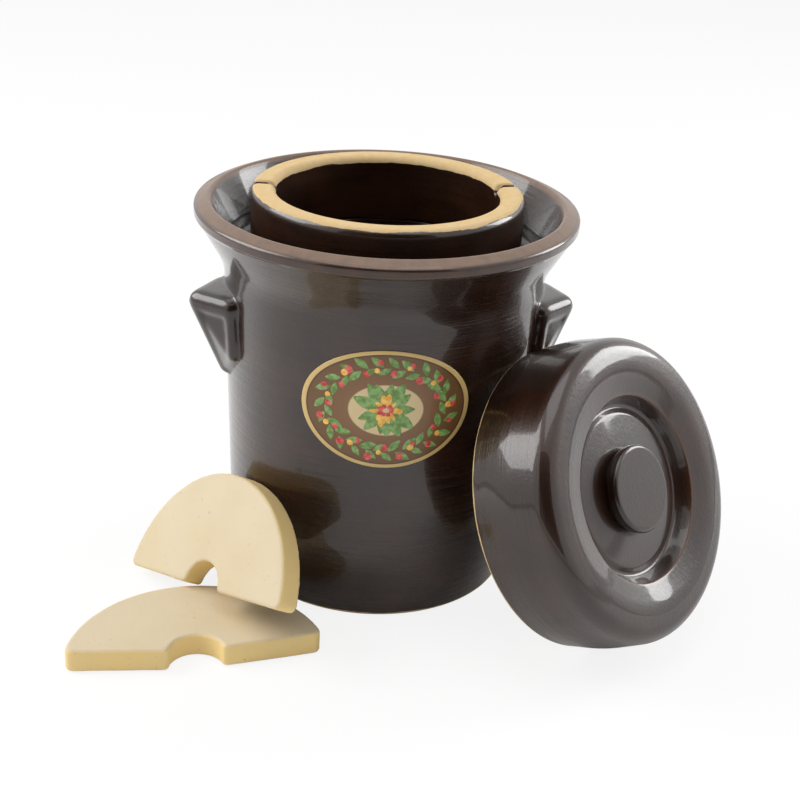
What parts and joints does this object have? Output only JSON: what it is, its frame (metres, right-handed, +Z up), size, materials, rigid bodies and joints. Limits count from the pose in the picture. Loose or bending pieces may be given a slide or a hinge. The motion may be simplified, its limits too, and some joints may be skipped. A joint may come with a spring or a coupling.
{
  "type": "water seal pickle jar",
  "caption": "Brown-glazed stoneware fermenting crock with a water gutter and neck ring, two lug handles, a lid leaning beside it, half-moon weight stones and an oval label.",
  "frame": {"origin": "centre of the crock's flat foot, on the surface it stands on", "axes": "+Z up along the crock's axis, -Y towards the label and the viewer, +X towards the lid's side"},
  "size_m": [0.4189, 0.306, 0.2673],
  "materials": {
    "dark_glaze": "glossy dark brown glaze",
    "bare_stoneware": "matte unglazed fired clay",
    "label_print": "satin printed label"
  },
  "bodies": {
    "crock": {"crock_body": "dark_glaze", "neck_ring": "dark_glaze", "handle_left": "dark_glaze", "handle_right": "dark_glaze", "label": "label_print"},
    "lid": {"lid_shell": "dark_glaze", "lid_knob": "dark_glaze"},
    "lower_stone": {"weight_stone_lower": "bare_stoneware"},
    "upper_stone": {"weight_stone_upper": "bare_stoneware"}
  },
  "joints": [
    {"name": "lid_lift", "type": "slide", "parent": "crock", "child": "lid", "axis": [0.7014, -0.568, 0.4305], "range_m": [0, 0.25]},
    {"name": "upper_stone_lift", "type": "slide", "parent": "crock", "child": "upper_stone", "axis": [-0.7035, -0.5064, 0.4986], "range_m": [0, 0.2]},
    {"name": "lower_stone_slide", "type": "slide", "parent": "crock", "child": "lower_stone", "axis": [0.2079, -0.9781, 0], "range_m": [0, 0.15]}
  ]
}
